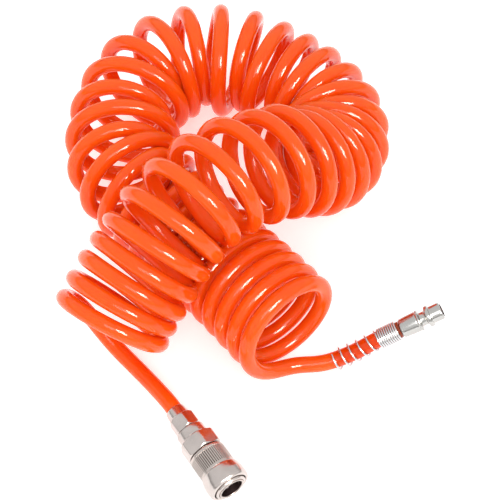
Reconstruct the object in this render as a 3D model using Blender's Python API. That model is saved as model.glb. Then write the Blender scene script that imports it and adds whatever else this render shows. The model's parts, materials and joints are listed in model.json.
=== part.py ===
"""Coiled air hose: recoil tube, quick-coupler socket on one end, sprung plug on the other.

Lengths below are millimetres and MM turns them into metres.  +Z is up and the hose lies on
the floor, Z = 0.  The socket points along -Y and the plug points along +X.
"""
import math

import bpy
import numpy as np
from mathutils import Vector

MM = 0.001

# Hose
TUBE_D = 8.0                      # outside diameter of the tube
BORE_D = 5.0                      # inside diameter of the tube
BARB_STRETCH = 0.25               # how far a barb widens the bore's radius
TURN_R = 24.8                     # coil axis to the centre of the tube
TURN_PHASE = math.radians(-60.0)  # where a turn starts round the coil's axis
GAP = 0.3                         # clearance left between neighbouring pieces

# Coil axis: turn number, x, y, z, how far the turns are pressed flat (1 = round), and how much
# of the axis's climb they lean with (1 = square to the axis, 0 = upright).  The coil climbs
# over itself between turns 4 and 10 and passes underneath between 33 and 40.
COIL_AXIS = [
    (0, -88.0, -28.2, 31.8, 1.00, 0.66), (2, -74.5, -23.7, 44.8, 1.00, 0.66),
    (4, -59.0, -19.7, 57.2, 0.95, 0.62), (6, -39.0, -15.2, 71.2, 0.95, 0.56),
    (8, -11.0, -11.7, 75.2, 0.94, 0.50), (10, 20.0, -9.7, 62.5, 0.97, 0.42),
    (12.5, 45.0, -6.7, 42.0, 1.00, 0.42), (15, 62.5, 3.8, 31.2, 1.00, 0.60),
    (17.5, 70.5, 24.3, 29.0, 1.00, 0.90), (20, 64.0, 51.3, 29.0, 1.00, 1.00),
    (22.5, 47.0, 78.3, 29.6, 1.00, 1.00), (25, 16.5, 90.6, 29.6, 1.00, 1.00),
    (27.5, -12.0, 76.8, 29.2, 1.00, 1.00), (30, -29.5, 51.3, 29.0, 1.00, 1.00),
    (32.5, -29.0, 26.3, 27.4, 0.93, 1.00), (36, -21.5, -7.7, 22.0, 0.72, 1.00),
    (39, -18.0, -35.7, 24.8, 0.83, 1.00), (43, -15.0, -73.7, 29.0, 1.00, 1.00),
]
LOOP_CENTRE = (18.0, 38.8)            # middle of the loop, x and y
LOOP_TURNS = (9, 13, 31, 34)          # the bend begins, is full, eases and ends
TUCK = 6.5                            # how far every other turn tucks in, inside the bend
COIL_START, COIL_END = 0.42, 43.04    # the turns where the tails leave the coil
FACE_SET_BACK = 0.46                  # turns between a tail and the coil solid's end face

# Coupler socket, on a line along -Y.  Stations along it are measured from the nut's rear.
SOCKET_X, SOCKET_Y, SOCKET_Z = -77.9, -70.3, 10.25
BALL_COUNT, BALL_R = 6, 1.4
BALL_STATION, BALL_LOCKED_R = 43.5, 5.9

# Plug, on a slanting line.  Stations along it are measured from the first closed guard turn.
PLUG_BASE = (21.7, -94.3, 16.0)
PLUG_AIM = (0.876, -0.282, 0.394)
HOSE_IN_PLUG = 11.5                   # how far the tube runs along the plug's line
GUARD_WIRE_R = 0.5
GUARD_OPEN_TURNS, GUARD_OPEN_LENGTH = 5, 24.0
GUARD_CLOSED_TURNS, GUARD_CLOSED_LENGTH = 9.5, 10.2

# Hand-laid route of the two straight tails, from the fitting to the coil.
SOCKET_TAIL = [(-77.9, -73.3, 10.3), (-77.9, -66.9, 10.3), (-78.2, -57.9, 8.8),
               (-78.8, -46.9, 6.4), (-80.2, -34.9, 5.2), (-82.2, -24.4, 6.8),
               (-84.3, -15.2, 11.6), (-86.6, -8.2, 18.6), (-89.6, -4.6, 26.6)]
PLUG_TAIL = [(-14.6, -79.5, 4.5), (-5.4, -84.7, 4.8), (4.0, -88.7, 7.2), (13.0, -91.9, 11.6)]

# Finishes: colour, roughness, metallic
ORANGE = ((0.90, 0.10, 0.012), 0.22, 0.0)
STEEL = ((0.62, 0.58, 0.55), 0.30, 1.0)
DARK_STEEL = ((0.30, 0.29, 0.28), 0.35, 1.0)
SPRING_STEEL = ((0.55, 0.54, 0.53), 0.30, 1.0)
BRASS = ((0.70, 0.50, 0.22), 0.35, 1.0)
RUBBER = ((0.02, 0.02, 0.02), 0.70, 0.0)


def clear_scene():
    for thing in list(bpy.data.objects):
        bpy.data.objects.remove(thing, do_unlink=True)


def give_material(thing, finish):
    colour, roughness, metallic = finish
    material = bpy.data.materials.new(thing.name)
    material.use_nodes = True
    shader = material.node_tree.nodes["Principled BSDF"]
    shader.inputs["Base Color"].default_value = (*colour, 1.0)
    shader.inputs["Roughness"].default_value = roughness
    shader.inputs["Metallic"].default_value = metallic
    thing.data.materials.append(material)


def add_mesh(name, points, faces, finish, parent=None):
    """A named mesh object from points in millimetres."""
    mesh = bpy.data.meshes.new(name)
    mesh.from_pydata([Vector(p) * MM for p in points], [], faces)
    mesh.validate()
    thing = bpy.data.objects.new(name, mesh)
    bpy.context.collection.objects.link(thing)
    give_material(thing, finish)
    thing.parent = parent
    return thing


def add_empty(name, place, aim):
    """An empty whose local +Z runs along a fitting."""
    empty = bpy.data.objects.new(name, None)
    empty.location = Vector(place) * MM
    empty.rotation_mode = "QUATERNION"
    empty.rotation_quaternion = Vector(aim).to_track_quat("Z", "Y")
    bpy.context.collection.objects.link(empty)
    return empty


# ---------------------------------------------------------------- curves

def smooth(knots, values, at):
    """Natural cubic spline through the values at the knots, evaluated at each number in at."""
    t, p, at = np.array(knots, float), np.array(values, float), np.array(at, float)
    count = len(t)
    matrix, right = np.eye(count), np.zeros(p.shape)
    for i in range(1, count - 1):
        before, after = t[i] - t[i - 1], t[i + 1] - t[i]
        matrix[i, i - 1:i + 2] = before, 2 * (before + after), after
        right[i] = 6 * ((p[i + 1] - p[i]) / after - (p[i] - p[i - 1]) / before)
    bend = np.linalg.solve(matrix, right)
    i = np.clip(np.searchsorted(t, at, side="right") - 1, 0, count - 2)
    width = t[i + 1] - t[i]
    a, b = ((t[i + 1] - at) / width)[:, None], ((at - t[i]) / width)[:, None]
    return (a * p[i] + b * p[i + 1]
            + ((a ** 3 - a) * bend[i] + (b ** 3 - b) * bend[i + 1]) * width[:, None] ** 2 / 6)


def directions(centres, lean=1.0):
    """Tangent, normal and side of a curve, with no twist between one point and the next.

    lean below 1 makes the tangent climb less than the curve does."""
    tangent = np.gradient(centres, axis=0)
    tangent[:, 2] *= lean
    tangent /= np.linalg.norm(tangent, axis=1)[:, None]
    normal = np.zeros_like(tangent)
    last = np.array([0.0, 0.0, 1.0])
    for i, along in enumerate(tangent):
        last = last - along * last.dot(along)
        last /= np.linalg.norm(last)
        normal[i] = last
    return tangent, normal, np.cross(tangent, normal)


STEPS_PER_TURN = 24
AXIS_TURNS = np.arange(-STEPS_PER_TURN // 4, STEPS_PER_TURN * 43.5) / STEPS_PER_TURN
AXIS = smooth([k[0] for k in COIL_AXIS], [k[1:] for k in COIL_AXIS], AXIS_TURNS)
AXIS_FRAME = directions(AXIS[:, :3], AXIS[:, 4])


def at_turns(table, turns):
    """A table's x, y and z at each turn number."""
    return np.stack([np.interp(turns, AXIS_TURNS, table[:, k]) for k in range(3)], axis=1)


def tucked(turns, angles):
    """How far a turn tucks inside its neighbours where the bent coil is crowded."""
    way_in = np.array(LOOP_CENTRE) - at_turns(AXIS, turns)[:, :2]
    normal, side = (at_turns(table, turns)[:, :2] for table in AXIS_FRAME[1:])
    inner = np.arctan2((side * way_in).sum(axis=1), (normal * way_in).sum(axis=1))
    half_turns = (angles - np.unwrap(inner)) / 2
    depth = np.interp(turns, LOOP_TURNS, (0, TUCK, TUCK, 0))
    return depth * np.maximum(0, -np.cos(half_turns)) ** 4


def round_coil(turns, radius, angles):
    """Points at a radius round the coil's axis, flattened where the turns are pressed."""
    centre, (_, normal, side) = at_turns(AXIS, turns), [at_turns(t, turns) for t in AXIS_FRAME]
    offset = np.cos(angles)[:, None] * normal + np.sin(angles)[:, None] * side
    offset *= np.reshape(radius, (-1, 1))
    offset[:, 2] *= np.interp(turns, AXIS_TURNS, AXIS[:, 3])
    return centre + offset


def hose_centre(turns):
    """The tube's centreline in the coil, a right-handed helix round the curved axis."""
    turns = np.array(turns, float)
    angles = 2 * math.pi * (turns - 0.5) + TURN_PHASE
    return round_coil(turns, TURN_R - tucked(turns, angles), angles)


def along_route(route, spacing):
    """A smooth centreline through hand-laid points, with a point at every spacing."""
    route = np.array(route, float)
    stations = np.concatenate([[0], np.cumsum(np.linalg.norm(np.diff(route, axis=0), axis=1))])
    return smooth(stations, route, np.linspace(0, stations[-1], round(stations[-1] / spacing)))


# ---------------------------------------------------------------- solids

def skin(rings, closed):
    """Faces over a stack of rings of equal size, with end caps unless the stack is closed."""
    sides = len(rings[0])
    points = [point for ring in rings for point in ring]
    pairs = [(k, k + 1) for k in range(len(rings) - 1)] + ([(len(rings) - 1, 0)] if closed else [])
    faces = [(low * sides + j, low * sides + (j + 1) % sides,
              high * sides + (j + 1) % sides, high * sides + j)
             for low, high in pairs for j in range(sides)]
    if not closed:
        faces.append(tuple(reversed(range(sides))))
        faces.append(tuple(range((len(rings) - 1) * sides, len(rings) * sides)))
    return points, faces


def wire(name, centres, radius, sides, finish, parent=None):
    """A solid round wire along a centreline."""
    _, normal, side = directions(np.array(centres))
    angles = np.arange(sides) * 2 * math.pi / sides
    rings = [[c + radius * (math.cos(a) * n + math.sin(a) * s) for a in angles]
             for c, n, s in zip(np.array(centres), normal, side)]
    return add_mesh(name, *skin(rings, False), finish, parent)


def curve_tube(name, centres, finish):
    """A free stretch of hose: a bevelled poly curve with filled ends."""
    curve = bpy.data.curves.new(name, "CURVE")
    curve.dimensions = "3D"
    curve.bevel_depth = TUBE_D / 2 * MM
    curve.bevel_resolution = 2
    curve.render_resolution_u = 0
    curve.use_fill_caps = True
    spline = curve.splines.new("POLY")
    spline.points.add(len(centres) - 1)
    for point, centre in zip(spline.points, centres):
        point.co = (*(Vector(centre) * MM), 1.0)
    thing = bpy.data.objects.new(name, curve)
    bpy.context.collection.objects.link(thing)
    give_material(thing, finish)
    return thing


def turned(name, profile, finish, parent, steps=48, hexes=(), ribs=None):
    """A turned ring from a closed profile of (radius, station) points.

    hexes lists (from, to, flats): between those stations the outside is milled to a hexagon.
    ribs is (from, to, count, depth): between them the outside is cut into straight ribs."""
    rings = []
    for radius, station in profile:
        ring = []
        for k in range(steps):
            angle = 2 * math.pi * k / steps
            r = radius
            for low, high, flats in hexes:
                if low <= station <= high and radius > flats * 0.5:
                    turn = (angle + math.pi / 6) % (math.pi / 3) - math.pi / 6
                    r = min(r, flats / 2 / math.cos(turn))
            if ribs and ribs[0] <= station <= ribs[1] and radius > ribs[4]:
                per_rib = steps // ribs[2]
                r -= ribs[3] if k % per_rib >= per_rib // 2 else 0.0
            ring.append((r * math.cos(angle), r * math.sin(angle), station))
        rings.append(ring)
    return add_mesh(name, *skin(rings, True), finish, parent)


def helix(radius, start, end, turns, steps=16):
    """Points of a spring's centreline about local Z."""
    count = round(turns * steps)
    return [(radius * math.cos(2 * math.pi * k / steps), radius * math.sin(2 * math.pi * k / steps),
             start + (end - start) * k / count) for k in range(count + 1)]


def cut_holes(target, radius, station, reach):
    """Radial ball holes, cut from the outside through to the bore."""
    for k in range(BALL_COUNT):
        angle = 2 * math.pi * (k + 0.5) / BALL_COUNT
        out = np.array([math.cos(angle), math.sin(angle), 0.0])
        centre = np.array([0.0, 0.0, station])
        side = np.cross([0, 0, 1], out)
        ring = [radius * (math.cos(a) * side + math.sin(a) * np.array([0, 0, 1.0]))
                for a in np.arange(16) * math.pi / 8]
        rings = [[centre + out * d + p for p in ring] for d in reach]
        cutter = add_mesh(f"cutter_{k + 1}", *skin(rings, False), STEEL, target.parent)
        cutter.hide_render = True
        cutter.display_type = "WIRE"
        hole = target.modifiers.new(f"ball_hole_{k + 1}", "BOOLEAN")
        hole.operation = "DIFFERENCE"
        hole.solver = "EXACT"
        hole.object = cutter


# ---------------------------------------------------------------- hose

def build_hose(plug_line):
    """The coil as one fat tube of its outer shape, and the two straight tails."""
    face_start, face_end = COIL_START + FACE_SET_BACK, COIL_END - FACE_SET_BACK
    sides = 24
    angles = np.arange(sides) * 2 * math.pi / sides
    rings = [round_coil(np.full(sides, turn), TURN_R + TUBE_D / 2, angles)
             for turn in np.linspace(face_start, face_end, 56)]
    add_mesh("hose_coil", *skin(rings, False), ORANGE)

    joins = COIL_START + np.arange(3) * 0.06
    route = SOCKET_TAIL + [tuple(p) for p in hose_centre(joins)]
    points = along_route(route, 5.0)
    keep = np.linalg.norm(points - hose_centre(joins[:1])[0], axis=1).argmin()
    curve_tube("hose_tail_socket", points[:keep + 1], ORANGE)

    joins = COIL_END - np.arange(2, -1, -1) * 0.06
    base, aim = plug_line
    ends = [tuple(base), tuple(base + aim * (GAP + 2.5))]
    route = [tuple(p) for p in hose_centre(joins)] + PLUG_TAIL + ends
    points = along_route(route, 4.0)
    skip = np.linalg.norm(points - hose_centre(joins[-1:])[0], axis=1).argmin()
    curve_tube("hose_tail_plug", points[skip:], ORANGE)
    return points


def build_hose_end(name, parent, start, end):
    """The last stretch of tube, its bore stretched over a barb."""
    bore = BORE_D / 2 + BARB_STRETCH
    turned(name, [(bore, start), (TUBE_D / 2, start), (TUBE_D / 2, end), (bore, end)], ORANGE,
           parent, steps=24)


# ---------------------------------------------------------------- socket end

def build_socket(axis):
    build_hose_end("hose_end_socket", axis, 3.3, 9.4)
    turned("hose_nut", [(4.3, 0.0), (4.7, 0.0), (5.3, 4.8), (5.9, 5.2), (6.4, 5.8), (6.4, 11.8),
                        (5.9, 12.4), (5.2, 12.4), (5.2, 9.0), (4.3, 8.4)],
           STEEL, axis, steps=48, hexes=[(5.0, 12.4, 11.4)])
    turned("coupler_rear", [(1.7, 3.4), (2.1, 3.4), (2.55, 4.8), (2.55, 9.7), (4.8, 9.7),
                            (4.8, 12.8), (6.6, 12.8), (7.05, 13.3), (7.05, 18.0), (8.2, 18.0),
                            (9.1, 19.0), (9.1, 25.6), (8.4, 26.4), (6.3, 26.4), (6.3, 20.0),
                            (1.7, 20.0)],
           STEEL, axis, steps=48, hexes=[(17.9, 26.4, 16.6)])
    body = turned("coupler_body", [(2.3, 20.3), (6.0, 20.3), (6.0, 26.8), (8.4, 26.8), (8.85, 27.3),
                                   (8.85, 27.9), (8.85, 37.0), (8.85, 39.3), (8.42, 39.5),
                                   (8.42, 33.0), (7.2, 33.0), (7.2, 45.1), (6.4, 45.1),
                                   (6.4, 48.7), (5.9, 48.7), (5.45, 48.2), (5.45, 35.9),
                                   (5.0, 35.9), (5.0, 33.9), (4.6, 33.9), (4.6, 23.4), (2.3, 23.4)],
                  DARK_STEEL, axis, steps=72, ribs=(27.8, 37.1, 24, 0.25, 8.8))
    cut_holes(body, 1.5, BALL_STATION, (4.0, 7.7))
    turned("coupler_sleeve", [(9.0, 38.2), (9.3, 38.2), (9.5, 38.5), (10.0, 40.4), (10.25, 42.2),
                              (10.25, 45.6), (9.9, 46.8), (9.4, 47.3), (8.3, 47.3), (8.3, 45.3),
                              (7.5, 43.7), (7.5, 41.0), (8.3, 41.0), (8.3, 43.4), (9.0, 43.4)],
           STEEL, axis, steps=48)
    turned("nose_ring", [(6.5, 45.3), (7.85, 45.3), (7.85, 47.9), (7.5, 48.3), (6.5, 48.3)],
           STEEL, axis, steps=48)
    wire("sleeve_spring", helix(7.8, 33.4, 37.0, 4.25), 0.3, 6, SPRING_STEEL, axis)
    for k in range(BALL_COUNT):
        angle = 2 * math.pi * (k + 0.5) / BALL_COUNT
        latitudes = np.linspace(-90, 90, 9)[1:-1]
        rings = [[(BALL_R * math.cos(math.radians(lat)) * math.cos(a),
                   BALL_R * math.cos(math.radians(lat)) * math.sin(a),
                   BALL_R * math.sin(math.radians(lat))) for a in np.arange(12) * math.pi / 6]
                 for lat in latitudes]
        ball = add_mesh(f"lock_ball_{k + 1}", *skin(rings, False), SPRING_STEEL, axis)
        ball.location = Vector((BALL_LOCKED_R * math.cos(angle), BALL_LOCKED_R * math.sin(angle),
                                BALL_STATION)) * MM
    turned("bore_seal", [(3.9, 36.3), (5.15, 36.3), (5.15, 38.3), (3.9, 38.3)],
           RUBBER, axis, steps=32)
    turned("valve_seat", [(3.1, 34.2), (4.8, 34.2), (4.8, 35.7), (3.1, 35.7)],
           RUBBER, axis, steps=32)
    turned("valve_poppet", [(0.9, 31.6), (2.2, 31.6), (2.2, 32.2), (4.0, 32.2), (4.0, 33.2),
                            (3.3, 33.9), (2.6, 33.9), (2.6, 36.6), (2.1, 37.2), (0.9, 37.2)],
           BRASS, axis, steps=32)
    wire("valve_spring", helix(3.3, 24.1, 28.2, 4.0, 14), 0.35, 6, SPRING_STEEL, axis)


# ---------------------------------------------------------------- plug end

def build_plug(axis):
    build_hose_end("hose_end_plug", axis, GAP * 2 + 2.8, HOSE_IN_PLUG)
    turned("plug", [(1.6, 3.2), (2.0, 3.2), (2.55, 4.2), (2.55, 11.8), (4.3, 11.8), (4.7, 12.3),
                    (5.0, 20.2), (5.0, 20.7), (5.3, 21.0), (5.3, 21.6), (4.9, 21.9), (3.4, 22.1),
                    (3.4, 24.7), (4.0, 25.2), (5.0, 25.3), (5.25, 25.6), (5.25, 27.0), (4.9, 27.3),
                    (4.25, 27.5), (4.25, 32.4), (3.7, 33.0), (3.0, 33.0), (3.0, 26.0),
                    (1.6, 25.0)], STEEL, axis, steps=36)


def build_guard(tail, base, aim):
    """The spring guard: open turns round the bending tail, closed turns round the barb end."""
    straight = [base + aim * s for s in np.arange(1.0, GUARD_CLOSED_LENGTH + 1.5, 1.0)]
    before = [p for p in tail if (p - base).dot(aim) < -0.5]
    line = np.array(before + [base] + straight)
    stations = np.concatenate([[0], np.cumsum(np.linalg.norm(np.diff(line, axis=0), axis=1))])
    zero = stations[len(before)]
    _, normal, side = directions(line)
    steps = 14
    count = round((GUARD_OPEN_TURNS + GUARD_CLOSED_TURNS) * steps)
    centres = []
    for k in range(count + 1):
        turn = k / steps
        if turn < GUARD_OPEN_TURNS:
            share = turn / GUARD_OPEN_TURNS
            station, radius = zero - GUARD_OPEN_LENGTH * (1 - share), 5.3 - 0.65 * share
        else:
            share = (turn - GUARD_OPEN_TURNS) / GUARD_CLOSED_TURNS
            station, radius = zero + GUARD_CLOSED_LENGTH * share, 4.65
        centre, n, s = (np.array([np.interp(station, stations, table[:, i]) for i in range(3)])
                        for table in (line, normal, side))
        angle = 2 * math.pi * turn
        centres.append(centre + radius * (math.cos(angle) * n + math.sin(angle) * s))
    wire("guard_spring", centres, GUARD_WIRE_R, 6, SPRING_STEEL)


def main():
    clear_scene()
    base, aim = np.array(PLUG_BASE), np.array(PLUG_AIM) / np.linalg.norm(PLUG_AIM)
    tail = build_hose((base, aim))
    build_socket(add_empty("socket_axis", (SOCKET_X, SOCKET_Y, SOCKET_Z), (0, -1, 0)))
    build_plug(add_empty("plug_axis", PLUG_BASE, PLUG_AIM))
    build_guard(tail, base, aim)
    bpy.context.view_layer.update()


main()
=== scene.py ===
"""Coiled air hose: the looks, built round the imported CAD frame.

Lengths are millimetres and MM turns them into metres.  The hose's route repeats the one that
the CAD solids follow, so the tube lies where they are.
"""
import json
import math

import bmesh
import bpy
import numpy as np
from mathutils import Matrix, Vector

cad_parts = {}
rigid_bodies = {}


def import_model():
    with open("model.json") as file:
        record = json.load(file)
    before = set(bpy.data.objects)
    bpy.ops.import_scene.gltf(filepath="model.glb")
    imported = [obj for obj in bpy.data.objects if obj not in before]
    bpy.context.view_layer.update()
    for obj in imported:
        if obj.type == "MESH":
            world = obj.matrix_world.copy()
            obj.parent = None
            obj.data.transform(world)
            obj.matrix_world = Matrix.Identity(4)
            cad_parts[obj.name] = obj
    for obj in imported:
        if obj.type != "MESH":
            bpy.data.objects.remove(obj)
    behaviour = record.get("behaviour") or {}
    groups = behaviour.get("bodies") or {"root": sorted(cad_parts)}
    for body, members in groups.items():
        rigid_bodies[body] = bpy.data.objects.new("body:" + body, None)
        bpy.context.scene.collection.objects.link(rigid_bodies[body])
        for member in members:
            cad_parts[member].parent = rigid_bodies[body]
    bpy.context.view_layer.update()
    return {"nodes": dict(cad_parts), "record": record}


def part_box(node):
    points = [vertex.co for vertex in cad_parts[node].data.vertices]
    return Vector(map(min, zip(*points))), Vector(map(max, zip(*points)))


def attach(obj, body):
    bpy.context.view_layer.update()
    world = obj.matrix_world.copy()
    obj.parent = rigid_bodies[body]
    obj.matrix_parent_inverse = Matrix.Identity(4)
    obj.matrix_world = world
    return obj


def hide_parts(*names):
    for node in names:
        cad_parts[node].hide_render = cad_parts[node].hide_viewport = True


MM = 0.001

# ---------------------------------------------------------------- the hose's route

TUBE_D = 8.0                      # outside diameter of the tube
TURN_R = 24.8                     # coil axis to the centre of the tube
TURN_PHASE = math.radians(-60.0)  # where the coil begins in its turn: fitted, then rounded

# Coil axis: turn number, x, y, z, how far the turns are pressed flat (1 = round), and how much
# of the axis's climb they lean with (1 = square to the axis, 0 = upright).  x, y, z and the
# pressed values are fitted ones, not chosen by hand.
COIL_AXIS = [
    (0, -88.0, -28.2, 31.8, 1.00, 0.66), (2, -74.5, -23.7, 44.8, 1.00, 0.66),
    (4, -59.0, -19.7, 57.2, 0.95, 0.62), (6, -39.0, -15.2, 71.2, 0.95, 0.56),
    (8, -11.0, -11.7, 75.2, 0.94, 0.50), (10, 20.0, -9.7, 62.5, 0.97, 0.42),
    (12.5, 45.0, -6.7, 42.0, 1.00, 0.42), (15, 62.5, 3.8, 31.2, 1.00, 0.60),
    (17.5, 70.5, 24.3, 29.0, 1.00, 0.90), (20, 64.0, 51.3, 29.0, 1.00, 1.00),
    (22.5, 47.0, 78.3, 29.6, 1.00, 1.00), (25, 16.5, 90.6, 29.6, 1.00, 1.00),
    (27.5, -12.0, 76.8, 29.2, 1.00, 1.00), (30, -29.5, 51.3, 29.0, 1.00, 1.00),
    (32.5, -29.0, 26.3, 27.4, 0.93, 1.00), (36, -21.5, -7.7, 22.0, 0.72, 1.00),
    (39, -18.0, -35.7, 24.8, 0.83, 1.00), (43, -15.0, -73.7, 29.0, 1.00, 1.00),
]
LOOP_CENTRE = (18.0, 38.8)            # middle of the loop, x and y
LOOP_TURNS = (9, 13, 31, 34)          # the bend begins, is full, eases and ends
TUCK = 6.5                            # how far every other turn tucks in, inside the bend
COIL_START, COIL_END = 0.42, 43.04    # the turns where the tails leave the coil
JOIN_STEP = 0.06                      # turns between the points that lead into the coil
TAIL_SPACING = 2.0                    # distance between the tube's points along a tail
POINTS_PER_TURN = 48
# The tails' points were given one by one, from places worked out with the fitted camera.
SOCKET_TAIL = [(-77.9, -73.3, 10.3), (-77.9, -66.9, 10.3), (-78.2, -57.9, 8.8),
               (-78.8, -46.9, 6.4), (-80.2, -34.9, 5.2), (-82.2, -24.4, 6.8),
               (-84.3, -15.2, 11.6), (-86.6, -8.2, 18.6), (-89.6, -4.6, 26.6)]
PLUG_TAIL = [(-14.6, -79.5, 4.5), (-5.4, -84.7, 4.8), (4.0, -88.7, 7.2), (13.0, -91.9, 11.6)]
PLUG_BASE, PLUG_AIM = (21.7, -94.3, 16.0), (0.876, -0.282, 0.394)
PLUG_REACH = (0, 4, 8, 11.5)      # the tube's last points, along the plug's line

# Spring guard on the plug's tail
GUARD_WIRE_R = 0.5
GUARD_OPEN_TURNS, GUARD_OPEN_LENGTH = 5, 24.0
GUARD_CLOSED_TURNS, GUARD_CLOSED_LENGTH = 9.5, 10.2
GUARD_OPEN_R, GUARD_CLOSED_R = 5.3, 4.65

# Locking balls, and the holes in the body that hold them
BALL_COUNT, BALL_R = 6, 1.4
BALL_STATION, BALL_LOCKED_R = 43.5, 5.9
BALL_HOLE_R, BALL_HOLE_FROM, BALL_HOLE_TO = 1.5, 4.0, 7.7

# The body's ribbed barrel: first and last station, ribs, depth, and the radius that they start at
RIBS = (28.5, 36.6, 54, 0.3, 8.8)
BARREL_STEPS = 216                # four for each rib

# Camera
CAMERA_TARGET = (4.3, -9.9, 0.0)
CAMERA_AZIMUTH, CAMERA_ELEVATION = -33.6, 57.1
CAMERA_DISTANCE, CAMERA_LENS = 910.0, 131.0

# Light: each lamp's direction, distance and size in metres, and power in watts
WORLD_STRENGTH, HORIZON = 0.95, (0.22, 0.21, 0.20)
FLOOR_GLOW = 0.5                  # keeps the paper under the hose white
FLOOR_HALF = 6.0                  # metres
KEY_LIGHT = (-0.35, -0.5, 0.8), 1.5, 0.7, 5.0
GLEAM_LIGHT = (0.03, -0.71, 0.71), 1.4, 0.6, 34.0
GLEAM_COLOUR = (1.0, 0.93, 0.84)


def smooth(knots, values, at):
    """Natural cubic spline through the values at the knots, evaluated at each number in at."""
    t, p, at = np.array(knots, float), np.array(values, float), np.array(at, float)
    count = len(t)
    matrix, right = np.eye(count), np.zeros(p.shape)
    for i in range(1, count - 1):
        before, after = t[i] - t[i - 1], t[i + 1] - t[i]
        matrix[i, i - 1:i + 2] = before, 2 * (before + after), after
        right[i] = 6 * ((p[i + 1] - p[i]) / after - (p[i] - p[i - 1]) / before)
    bend = np.linalg.solve(matrix, right)
    i = np.clip(np.searchsorted(t, at, side="right") - 1, 0, count - 2)
    width = t[i + 1] - t[i]
    a, b = ((t[i + 1] - at) / width)[:, None], ((at - t[i]) / width)[:, None]
    return (a * p[i] + b * p[i + 1]
            + ((a ** 3 - a) * bend[i] + (b ** 3 - b) * bend[i + 1]) * width[:, None] ** 2 / 6)


def directions(centres, lean=1.0):
    """Tangent, normal and side of a curve, with no twist between one point and the next.

    lean below 1 makes the tangent climb less than the curve does."""
    tangent = np.gradient(centres, axis=0)
    tangent[:, 2] *= lean
    tangent /= np.linalg.norm(tangent, axis=1)[:, None]
    normal = np.zeros_like(tangent)
    last = np.array([0.0, 0.0, 1.0])
    for i, along in enumerate(tangent):
        last = last - along * last.dot(along)
        last /= np.linalg.norm(last)
        normal[i] = last
    return tangent, normal, np.cross(tangent, normal)


STEPS_PER_TURN = 24
AXIS_TURNS = np.arange(-STEPS_PER_TURN // 4, STEPS_PER_TURN * 43.5) / STEPS_PER_TURN
AXIS = smooth([k[0] for k in COIL_AXIS], [k[1:] for k in COIL_AXIS], AXIS_TURNS)
AXIS_FRAME = directions(AXIS[:, :3], AXIS[:, 4])


def at_turns(table, turns):
    """A table's x, y and z at each turn number."""
    return np.stack([np.interp(turns, AXIS_TURNS, table[:, k]) for k in range(3)], axis=1)


def tucked(turns, angles):
    """How far a turn tucks inside its neighbours where the bent coil is crowded."""
    way_in = np.array(LOOP_CENTRE) - at_turns(AXIS, turns)[:, :2]
    normal, side = (at_turns(table, turns)[:, :2] for table in AXIS_FRAME[1:])
    inner = np.arctan2((side * way_in).sum(axis=1), (normal * way_in).sum(axis=1))
    half_turns = (angles - np.unwrap(inner)) / 2
    depth = np.interp(turns, LOOP_TURNS, (0, TUCK, TUCK, 0))
    return depth * np.maximum(0, -np.cos(half_turns)) ** 4


def round_coil(turns, radius, angles):
    """Points at a radius round the coil's axis, flattened where the turns are pressed."""
    centre, (_, normal, side) = at_turns(AXIS, turns), [at_turns(t, turns) for t in AXIS_FRAME]
    offset = np.cos(angles)[:, None] * normal + np.sin(angles)[:, None] * side
    offset *= np.reshape(radius, (-1, 1))
    offset[:, 2] *= np.interp(turns, AXIS_TURNS, AXIS[:, 3])
    return centre + offset


def hose_centre(turns):
    """The tube's centreline in the coil, a right-handed helix round the curved axis."""
    turns = np.array(turns, float)
    angles = 2 * math.pi * (turns - 0.5) + TURN_PHASE
    return round_coil(turns, TURN_R - tucked(turns, angles), angles)


def along_route(route, spacing):
    """A smooth centreline through the given points, with a point at every spacing."""
    route = np.array(route, float)
    stations = np.concatenate([[0], np.cumsum(np.linalg.norm(np.diff(route, axis=0), axis=1))])
    return smooth(stations, route, np.linspace(0, stations[-1], round(stations[-1] / spacing)))


def hose_line():
    """The whole tube's centreline, from inside the socket's nut to inside the plug."""
    joins = hose_centre(COIL_START + np.arange(3) * JOIN_STEP)
    points = along_route([*SOCKET_TAIL, *joins], TAIL_SPACING)
    first = points[:np.linalg.norm(points - joins[0], axis=1).argmin()]
    turns = np.arange(COIL_START, COIL_END, 1 / POINTS_PER_TURN)
    base, aim = plug_line()
    joins = hose_centre(COIL_END - np.arange(2, -1, -1) * JOIN_STEP)
    ends = [base + aim * reach for reach in PLUG_REACH]
    points = along_route([*joins, *PLUG_TAIL, *ends], TAIL_SPACING)
    last = points[np.linalg.norm(points - joins[-1], axis=1).argmin() + 1:]
    return first, hose_centre(turns), last


def plug_line():
    """Where the plug's line starts and which way it points."""
    return np.array(PLUG_BASE), np.array(PLUG_AIM) / np.linalg.norm(PLUG_AIM)


# ---------------------------------------------------------------- materials

def nodes_of(name, colour, roughness, metallic):
    material = bpy.data.materials.new(name)
    material.use_nodes = True
    tree = material.node_tree
    shader = tree.nodes["Principled BSDF"]
    shader.inputs["Base Color"].default_value = (*colour, 1)
    shader.inputs["Roughness"].default_value = roughness
    shader.inputs["Metallic"].default_value = metallic
    return material, tree, shader


def link(tree, a, out, b, into):
    tree.links.new(a.outputs[out], b.inputs[into])


def noise(tree, scale, detail=3.0, stretch=(1, 1, 1)):
    """Noise in the object's own coordinates, stretched along an axis if asked."""
    where = tree.nodes.new("ShaderNodeTexCoord")
    mapping = tree.nodes.new("ShaderNodeMapping")
    mapping.inputs["Scale"].default_value = stretch
    texture = tree.nodes.new("ShaderNodeTexNoise")
    texture.inputs["Scale"].default_value = scale
    texture.inputs["Detail"].default_value = detail
    link(tree, where, "Object", mapping, "Vector")
    link(tree, mapping, "Vector", texture, "Vector")
    return texture


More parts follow.
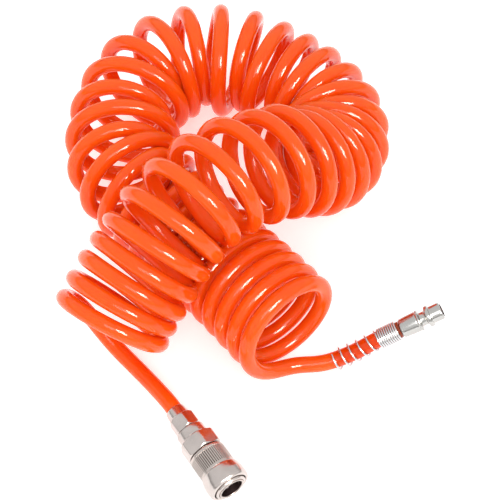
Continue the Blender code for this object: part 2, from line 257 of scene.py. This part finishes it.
def colour_between(tree, factor, low, high, shader):
    """Base colour that drifts between two shades as the noise does."""
    ramp = tree.nodes.new("ShaderNodeValToRGB")
    ramp.color_ramp.elements[0].position, ramp.color_ramp.elements[1].position = 0.3, 0.7
    ramp.color_ramp.elements[0].color = (*low, 1)
    ramp.color_ramp.elements[1].color = (*high, 1)
    link(tree, factor, "Fac", ramp, "Fac")
    link(tree, ramp, "Color", shader, "Base Color")


def paint_shade_near(tree, point, inner, outer, colour, shader):
    """Paints shade: turns the base colour to another one around a point; distances in
    millimetres.
    """
    where = tree.nodes.new("ShaderNodeTexCoord")
    gap = tree.nodes.new("ShaderNodeVectorMath")
    gap.operation = "DISTANCE"
    gap.inputs[1].default_value = np.array(point) * MM
    near = tree.nodes.new("ShaderNodeMapRange")
    near.inputs["From Min"].default_value = outer * MM
    near.inputs["From Max"].default_value = inner * MM
    mix = tree.nodes.new("ShaderNodeMix")
    mix.data_type = "RGBA"
    mix.inputs["B"].default_value = (*colour, 1)
    before = shader.inputs["Base Color"].links[0].from_socket
    link(tree, where, "Object", gap, "Vector")
    link(tree, gap, "Value", near, "Value")
    link(tree, near, "Result", mix, "Factor")
    tree.links.new(before, mix.inputs["A"])
    link(tree, mix, "Result", shader, "Base Color")


def roughness_between(tree, factor, low, high, shader):
    span = tree.nodes.new("ShaderNodeMapRange")
    span.inputs["To Min"].default_value, span.inputs["To Max"].default_value = low, high
    link(tree, factor, "Fac", span, "Value")
    link(tree, span, "Result", shader, "Roughness")


def add_bump(tree, factor, depth, shader, strength=0.4):
    bump = tree.nodes.new("ShaderNodeBump")
    bump.inputs["Strength"].default_value = strength
    bump.inputs["Distance"].default_value = depth
    link(tree, factor, "Fac", bump, "Height")
    link(tree, bump, "Normal", shader, "Normal")


def polyurethane():
    """Glossy, slightly see-through orange tube with a faint drift in its colour."""
    material, tree, shader = nodes_of("orange_polyurethane", (0.95, 0.107, 0.005), 0.09, 0.0)
    drift = noise(tree, 38, 2)
    colour_between(tree, drift, (0.93, 0.096, 0.004), (0.97, 0.119, 0.006), shader)
    base, aim = plug_line()
    shade_in_guard, shade_in_gap = base - aim * 9, base + aim * 12
    # Painted shade: darker orange on the tube inside the spring guard, and a dark brown painted
    # shadow on the tube in the gap between the guard's closed turns and the plug.
    paint_shade_near(tree, shade_in_guard, 13, 17, (0.80, 0.062, 0.002), shader)
    paint_shade_near(tree, shade_in_gap, 4.5, 7, (0.30, 0.045, 0.012), shader)
    roughness_between(tree, noise(tree, 160, 3), 0.07, 0.11, shader)
    add_bump(tree, noise(tree, 420, 2), 0.00003, shader, 0.1)
    shader.inputs["IOR"].default_value = 1.5
    shader.inputs["Specular IOR Level"].default_value = 0.32
    shader.inputs["Subsurface Weight"].default_value = 0.35
    shader.inputs["Subsurface Radius"].default_value = (1.0, 0.25, 0.05)
    shader.inputs["Subsurface Scale"].default_value = 0.003
    return material


def nickel(name, colour, rough, stretch=(1, 0.06, 1)):
    """Nickel plate over turned steel: fine turning lines and a little uneven polish."""
    material, tree, shader = nodes_of(name, colour, rough, 1.0)
    low = tuple(c * 0.86 for c in colour)
    colour_between(tree, noise(tree, 120, 4), low, colour, shader)
    roughness_between(tree, noise(tree, 300, 4, stretch), rough * 0.7, rough * 1.4, shader)
    add_bump(tree, noise(tree, 900, 2, stretch), 0.00002, shader, 0.35)
    return material


def spring_wire():
    material, tree, shader = nodes_of("spring_wire", (0.64, 0.645, 0.65), 0.2, 1.0)
    roughness_between(tree, noise(tree, 500, 3), 0.16, 0.32, shader)
    return material


def seal_rubber():
    material, tree, shader = nodes_of("seal_rubber", (0.02, 0.02, 0.02), 0.6, 0.0)
    roughness_between(tree, noise(tree, 400, 3), 0.5, 0.75, shader)
    return material


def turned_brass():
    material, tree, shader = nodes_of("turned_brass", (0.70, 0.50, 0.22), 0.3, 1.0)
    roughness_between(tree, noise(tree, 400, 3), 0.22, 0.4, shader)
    return material


def set_material(thing, material):
    if thing.data.materials:
        thing.data.materials[0] = material
    else:
        thing.data.materials.append(material)


# ---------------------------------------------------------------- building pieces

def add_piece(name, data, material, slot, *replaced, body="hose"):
    thing = bpy.data.objects.new(name, data)
    bpy.context.collection.objects.link(thing)
    set_material(thing, material)
    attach(thing, body)
    if replaced:
        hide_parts(*replaced)
    return thing


def curve_along(name, points, radius, resolution):
    """One smooth round curve through all the points, with filled ends."""
    curve = bpy.data.curves.new(name, "CURVE")
    curve.dimensions = "3D"
    curve.bevel_depth = radius * MM
    curve.bevel_resolution = resolution
    curve.use_fill_caps = True
    spline = curve.splines.new("POLY")
    spline.points.add(len(points) - 1)
    spline.use_smooth = True
    for point, centre in zip(spline.points, points):
        point.co = (*(Vector(centre) * MM), 1.0)
    return curve


def soften(mesh, degrees=35):
    for face in mesh.polygons:
        face.use_smooth = True
    mesh.set_sharp_from_angle(angle=math.radians(degrees))


def eased(profile, cut=0.16):
    """The profile with each corner rounded off by a short curve."""
    out = []
    for i, corner in enumerate(profile):
        corner = Vector(corner)
        before = Vector(profile[i - 1]) - corner
        after = Vector(profile[(i + 1) % len(profile)]) - corner
        start = corner + before.normalized() * min(cut, before.length * 0.35)
        end = corner + after.normalized() * min(cut, after.length * 0.35)
        out += [start, start * 0.25 + corner * 0.5 + end * 0.25, end]
    return out


def turned(name, profile, place, steps=96, hexes=(), ribs=None, crease=50, dark_inside=0.0):
    """A turned ring from a closed profile of (radius, station) points, set on a fitting's line.

    hexes lists (from, to, flats): between those stations the outside is milled to a hexagon.
    ribs is (from, to, count, depth, over): between them the outside is cut into straight ribs.
    Faces nearer the line than dark_inside get the mesh's second material, painted shade for the
    bore, and the grooves between ribs its third, painted shade for the grooves."""
    mesh = bpy.data.meshes.new(name)
    profile = eased(profile)
    points = []
    for radius, station in profile:
        for k in range(steps):
            angle = 2 * math.pi * k / steps
            r = radius
            for low, high, flats in hexes:
                if low <= station <= high and radius > flats * 0.5:
                    turn = (angle + math.pi / 6) % (math.pi / 3) - math.pi / 6
                    r = min(r, flats / 2 / math.cos(turn))
            if ribs and ribs[0] <= station <= ribs[1] and radius > ribs[4]:
                per_rib = steps // ribs[2]
                r -= ribs[3] if k % per_rib >= per_rib * 3 // 4 else 0.0
            points.append(place @ Vector((r * math.cos(angle), r * math.sin(angle), station)))
    count = len(profile)
    faces = [(i * steps + j, i * steps + (j + 1) % steps,
              (i + 1) % count * steps + (j + 1) % steps, (i + 1) % count * steps + j)
             for i in range(count) for j in range(steps)]
    mesh.from_pydata([p * MM for p in points], [], faces)
    inside = [max(profile[i][0], profile[(i + 1) % count][0]) < dark_inside for i in range(count)]
    for face in mesh.polygons:
        face.material_index = int(inside[face.index // steps])
        # Painted shade: faces in the grooves between ribs get the darker third material.
        if ribs and ribs[0] < profile[face.index // steps][1] < ribs[1]:
            groove = face.index % steps % (steps // ribs[2]) >= steps // ribs[2] * 3 // 4 - 1
            if groove and profile[face.index // steps][0] > ribs[4]:
                face.material_index = 2
    soften(mesh, crease)
    return mesh


def spring_along(line, turns, steps=24):
    """A spring's centreline; line gives the centre, normal, side and radius at each turn."""
    points = []
    for k in range(round(turns * steps) + 1):
        centre, normal, side, radius = line(k / steps)
        angle = 2 * math.pi * k / steps
        points.append(centre + radius * (math.cos(angle) * normal + math.sin(angle) * side))
    return points


def line_matrix(place, aim):
    """Turns (across, across, station) on a fitting's line into the row frame, in millimetres."""
    matrix = Vector(aim).to_track_quat("Z", "Y").to_matrix().to_4x4()
    matrix.translation = Vector(place)
    return matrix


# ---------------------------------------------------------------- the pieces

def build_hose(material):
    """The whole tube, and the points of its plug tail for the guard to follow."""
    first, coil, last = hose_line()
    tube = curve_along("hose", np.concatenate((first, coil, last)), TUBE_D / 2, 7)
    hose = add_piece("hose", tube, material, "hose", "hose_coil", "hose_tail_socket",
                     "hose_tail_plug", "hose_end_socket", "hose_end_plug")
    return hose, last


def ball_direction(k):
    """Which way ball k lies from the fitting's line."""
    angle = 2 * math.pi * (k + 0.5) / BALL_COUNT
    return Vector((math.cos(angle), math.sin(angle), 0))


def cut_ball_holes(thing, place):
    """Cuts the six ball holes, from outside the wall through to the bore."""
    cutters = []
    for k in range(BALL_COUNT):
        start, end = (place @ (ball_direction(k) * r + Vector((0, 0, BALL_STATION)))
                      for r in (BALL_HOLE_FROM, BALL_HOLE_TO))
        mesh = bpy.data.meshes.new("cutter")
        build = bmesh.new()
        bmesh.ops.create_cone(build, cap_ends=True, segments=32, radius1=BALL_HOLE_R * MM,
                              radius2=BALL_HOLE_R * MM, depth=(end - start).length * MM)
        build.to_mesh(mesh)
        build.free()
        cutter = bpy.data.objects.new("cutter", mesh)
        cutter.rotation_mode = "QUATERNION"
        cutter.rotation_quaternion = (end - start).to_track_quat("Z", "Y")
        cutter.location = (start + end) / 2 * MM
        bpy.context.collection.objects.link(cutter)
        hole = thing.modifiers.new("hole", "BOOLEAN")
        hole.operation = "DIFFERENCE"
        hole.object = cutter
        cutters.append(cutter)
    bpy.context.view_layer.update()
    evaluated = thing.evaluated_get(bpy.context.evaluated_depsgraph_get())
    cut = bpy.data.meshes.new_from_object(evaluated)
    thing.modifiers.clear()
    thing.data = cut
    for cutter in cutters:
        bpy.data.objects.remove(cutter, do_unlink=True)


def build_nut(place, plate):
    add_piece("nut", turned("nut", [
        (4.3, 0.0), (4.5, 0.0), (4.75, 0.25), (5.3, 4.7), (5.5, 5.0), (5.9, 5.1), (6.45, 5.7),
        (6.45, 11.7), (5.9, 12.3), (5.7, 12.4), (5.2, 12.4), (5.2, 9.0), (4.3, 8.4)],
        place, hexes=[(5.05, 12.4, 11.4)]), plate, "fitting_steel", "hose_nut")


def build_rear_fitting(place, plate):
    thread = [(4.8 if k % 2 else 4.4, 9.8 + 0.4 * k) for k in range(8)]
    add_piece("rear_fitting", turned("rear_fitting", [
        (1.7, 3.4), (2.1, 3.4), (2.55, 4.8), (2.55, 9.7), *thread, (4.5, 13.0), (6.7, 13.0),
        (7.05, 13.3), (7.05, 17.6), (6.8, 17.9), (6.8, 18.2), (8.1, 18.2), (9.15, 18.9),
        (9.15, 25.7), (8.5, 26.3), (8.3, 26.4), (6.3, 26.4), (6.3, 20.0), (1.7, 20.0)],
        place, hexes=[(18.05, 26.4, 16.6)]), plate, "fitting_steel", "coupler_rear")


def build_body(place, plate, bore, groove):
    mesh = turned("body", [
        (2.3, 20.3), (6.0, 20.3), (6.0, 26.8), (8.3, 26.8), (8.75, 27.2), (8.85, 27.5),
        (8.85, 28.2), (8.85, 28.6), (8.85, 36.5), (8.85, 36.9), (8.85, 37.9), (8.6, 38.1),
        (8.6, 38.4), (8.85, 38.6), (8.85, 39.3), (8.42, 39.5), (8.42, 33.0), (7.2, 33.0),
        (7.2, 45.1), (6.4, 45.1), (6.4, 48.7), (5.9, 48.7), (5.45, 48.2), (5.45, 35.9),
        (5.0, 35.9), (5.0, 33.9), (4.6, 33.9), (4.6, 23.4), (2.3, 23.4)],
        place, steps=BARREL_STEPS, ribs=RIBS, crease=30, dark_inside=5.6)
    body = add_piece("body", mesh, plate, "body_steel", "coupler_body")
    # Painted shade: the body's second and third materials darken its bore and its rib grooves.
    body.data.materials.append(bore)
    body.data.materials.append(groove)
    cut_ball_holes(body, place)
    soften(body.data, 30)


def build_sleeve(place, plate):
    add_piece("sleeve", turned("sleeve", [
        (9.0, 38.2), (9.3, 38.2), (9.55, 38.6), (9.75, 39.6), (10.0, 40.9), (10.2, 42.2),
        (10.25, 43.4), (10.25, 45.5), (10.1, 46.4), (9.8, 47.0), (9.3, 47.3), (8.5, 47.3),
        (8.3, 47.0), (8.3, 45.3), (7.5, 43.7), (7.5, 41.0), (8.3, 41.0), (8.3, 43.4),
        (9.0, 43.4)], place, crease=40), plate, "fitting_steel", "coupler_sleeve", body="sleeve")
    add_piece("front_ring", turned("front_ring", [
        (6.5, 45.3), (7.85, 45.3), (7.85, 47.6), (7.6, 48.1), (7.2, 48.3), (6.8, 48.3),
        (6.5, 48.1)], place, crease=40), plate, "fitting_steel", "nose_ring")


def build_balls(place, steel):
    for k in range(BALL_COUNT):
        centre = place @ (ball_direction(k) * BALL_LOCKED_R + Vector((0, 0, BALL_STATION)))
        mesh = bpy.data.meshes.new(f"ball_{k + 1}")
        build = bmesh.new()
        bmesh.ops.create_icosphere(build, subdivisions=4, radius=BALL_R * MM)
        bmesh.ops.translate(build, verts=build.verts, vec=centre * MM)
        build.to_mesh(mesh)
        build.free()
        soften(mesh, 80)
        add_piece(f"ball_{k + 1}", mesh, steel, "spring_steel", f"lock_ball_{k + 1}",
                  body=f"ball_{k + 1}")


def build_valve(place, rubber, brass, wire_metal):
    add_piece("seal_ring", turned("seal_ring", [
        (3.9, 36.8), (4.4, 36.3), (5.15, 36.3), (5.15, 38.3), (4.4, 38.3), (3.9, 37.8)],
        place, crease=60), rubber, "seal", "bore_seal")
    add_piece("seat_ring", turned("seat_ring", [
        (3.1, 34.2), (4.8, 34.2), (4.8, 35.7), (3.1, 35.7)], place), rubber, "seal", "valve_seat")
    add_piece("poppet", turned("poppet", [
        (0.9, 31.6), (2.2, 31.6), (2.2, 32.2), (4.0, 32.2), (4.0, 33.2), (3.3, 33.9),
        (2.6, 33.9), (2.6, 36.6), (2.1, 37.2), (0.9, 37.2)], place), brass, "brass",
        "valve_poppet", body="poppet")
    across, up = place.to_3x3() @ Vector((1, 0, 0)), place.to_3x3() @ Vector((0, 1, 0))
    for name, node, radius, wire_r, start, end, turns in (
            ("return_spring", "sleeve_spring", 7.8, 0.3, 33.4, 37.0, 4.25),
            ("poppet_spring", "valve_spring", 3.3, 0.35, 24.1, 28.2, 4.0)):
        def line(turn, start=start, rise=(end - start) / turns, radius=radius):
            return place @ Vector((0, 0, start + rise * turn)), across, up, radius
        add_piece(name, curve_along(name, spring_along(line, turns), wire_r, 3),
                  wire_metal, "spring_steel", node)


def build_plug(steel, bore):
    mesh = turned("male_plug", [
        (1.6, 3.2), (2.0, 3.2), (2.55, 4.2), (2.55, 11.8), (4.25, 11.8), (4.6, 12.1), (4.7, 12.6),
        (4.85, 15.5), (4.98, 20.0), (4.9, 20.5), (5.0, 20.8), (5.3, 21.0), (5.3, 21.6),
        (4.9, 21.9), (3.6, 22.1), (3.4, 22.4), (3.4, 24.5), (3.6, 24.9), (4.2, 25.2),
        (5.0, 25.3), (5.25, 25.6), (5.25, 27.0), (4.95, 27.3), (4.35, 27.5), (4.25, 27.8),
        (4.25, 32.3), (4.0, 32.8), (3.6, 33.0), (3.1, 33.0), (3.0, 32.8), (3.0, 26.0),
        (1.6, 25.0)], line_matrix(PLUG_BASE, PLUG_AIM), crease=45, dark_inside=3.15)
    plug = add_piece("male_plug", mesh, steel, "fitting_steel", "plug")
    # The plug's bore gets the painted-shade metal.
    plug.data.materials.append(bore)
    return plug


def build_guard(tail, wire_metal):
    """The spring guard: open turns round the bending tail, closed turns round the barb end."""
    base, aim = plug_line()
    straight = [base + aim * s for s in np.arange(1.0, GUARD_CLOSED_LENGTH + 1.5, 1.0)]
    before = [p for p in tail if (p - base).dot(aim) < -0.5]
    route = np.array(before + [base] + straight)
    stations = np.concatenate([[0], np.cumsum(np.linalg.norm(np.diff(route, axis=0), axis=1))])
    zero = stations[len(before)]
    _, normal, side = directions(route)

    def line(turn):
        if turn < GUARD_OPEN_TURNS:
            share = turn / GUARD_OPEN_TURNS
            station = zero - GUARD_OPEN_LENGTH * (1 - share)
            radius = GUARD_OPEN_R - (GUARD_OPEN_R - GUARD_CLOSED_R) * share
        else:
            share = (turn - GUARD_OPEN_TURNS) / GUARD_CLOSED_TURNS
            station, radius = zero + GUARD_CLOSED_LENGTH * share, GUARD_CLOSED_R
        return (*(np.array([np.interp(station, stations, table[:, i]) for i in range(3)])
                  for table in (route, normal, side)), radius)

    points = spring_along(line, GUARD_OPEN_TURNS + GUARD_CLOSED_TURNS, 32)
    return add_piece("guard", curve_along("guard", points, GUARD_WIRE_R, 4), wire_metal,
                     "spring_steel", "guard_spring")


def build_world():
    """White studio light from above, darker towards the horizon."""
    world = bpy.data.worlds.new("studio")
    bpy.context.scene.world = world
    world.use_nodes = True
    tree = world.node_tree
    where = tree.nodes.new("ShaderNodeTexCoord")
    split = tree.nodes.new("ShaderNodeSeparateXYZ")
    ramp = tree.nodes.new("ShaderNodeValToRGB")
    ramp.color_ramp.elements[0].position, ramp.color_ramp.elements[1].position = 0.02, 0.3
    ramp.color_ramp.elements[0].color = (*HORIZON, 1)
    ramp.color_ramp.elements[1].color = (1, 1, 1, 1)
    link(tree, where, "Generated", split, "Vector")
    link(tree, split, "Z", ramp, "Fac")
    link(tree, ramp, "Color", tree.nodes["Background"], "Color")
    tree.nodes["Background"].inputs["Strength"].default_value = WORLD_STRENGTH


def build_floor():
    mesh = bpy.data.meshes.new("floor")
    s = FLOOR_HALF
    mesh.from_pydata([(-s, -s, 0), (s, -s, 0), (s, s, 0), (-s, s, 0)], [], [(0, 1, 2, 3)])
    floor = bpy.data.objects.new("floor", mesh)
    bpy.context.collection.objects.link(floor)
    material, _, shader = nodes_of("paper", (0.92, 0.92, 0.92), 0.9, 0.0)
    shader.inputs["Emission Color"].default_value = (1, 1, 1, 1)
    shader.inputs["Emission Strength"].default_value = FLOOR_GLOW
    set_material(floor, material)


def area_light(name, towards, distance, size, power, colour=(1, 1, 1), gloss_only=False):
    """A soft lamp in a direction from the hose, aimed at it."""
    data = bpy.data.lights.new(name, "AREA")
    data.shape = "DISK"
    data.size = size
    data.energy = power
    data.color = colour
    lamp = bpy.data.objects.new(name, data)
    aim = Vector(towards).normalized()
    lamp.location = Vector(CAMERA_TARGET) * MM + aim * distance
    lamp.rotation_mode = "QUATERNION"
    lamp.rotation_quaternion = (-aim).to_track_quat("-Z", "Y")
    lamp.visible_diffuse = not gloss_only
    bpy.context.collection.objects.link(lamp)


def build_camera():
    data = bpy.data.cameras.new("camera")
    data.lens = CAMERA_LENS
    camera = bpy.data.objects.new("camera", data)
    a, e = math.radians(CAMERA_AZIMUTH), math.radians(CAMERA_ELEVATION)
    back = Vector((math.sin(a) * math.cos(e), -math.cos(a) * math.cos(e), math.sin(e)))
    camera.location = (Vector(CAMERA_TARGET) + back * CAMERA_DISTANCE) * MM
    camera.rotation_mode = "QUATERNION"
    camera.rotation_quaternion = (-back).to_track_quat("-Z", "Y")
    bpy.context.collection.objects.link(camera)
    bpy.context.scene.camera = camera


def main():
    for thing in list(bpy.data.objects):
        bpy.data.objects.remove(thing, do_unlink=True)
    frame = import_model()
    bpy.context.scene.view_settings.view_transform = "Standard"

    build_camera()
    build_world()
    build_floor()
    area_light("key", *KEY_LIGHT)
    area_light("gleam", *GLEAM_LIGHT, GLEAM_COLOUR, gloss_only=True)

    orange = polyurethane()
    plate = nickel("nickel_plate", (0.62, 0.56, 0.53), 0.20)
    body_plate = nickel("body_plate", (0.60, 0.535, 0.50), 0.24)
    zinc = nickel("zinc_plate", (0.54, 0.535, 0.515), 0.18)
    # Painted shade: near-black metal for the faces inside the body's and the plug's bores.
    bore = nickel("bore_painted_shade", (0.055, 0.035, 0.035), 0.45)
    # Painted shade: a darker metal in the grooves between the body's ribs.
    groove = nickel("groove_painted_shade", (0.34, 0.30, 0.275), 0.35)
    wire_metal = spring_wire()
    rubber, brass = seal_rubber(), turned_brass()
    finishes = {"hose": orange, "fitting_steel": plate, "body_steel": body_plate,
                "spring_steel": wire_metal, "brass": brass, "seal": rubber}
    for part in frame["record"]["subparts"]:
        set_material(frame["nodes"][part["node"]], finishes[part["material_slot"]])

    hose, last = build_hose(orange)
    low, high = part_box("hose_nut")
    place = line_matrix(((low.x + high.x) / 2 / MM, high.y / MM, (low.z + high.z) / 2 / MM),
                        (0, -1, 0))
    build_nut(place, plate)
    build_rear_fitting(place, plate)
    build_body(place, body_plate, bore, groove)
    build_sleeve(place, plate)
    build_balls(place, wire_metal)
    build_valve(place, rubber, brass, wire_metal)
    plug = build_plug(zinc, bore)
    guard = build_guard(last, wire_metal)


main()
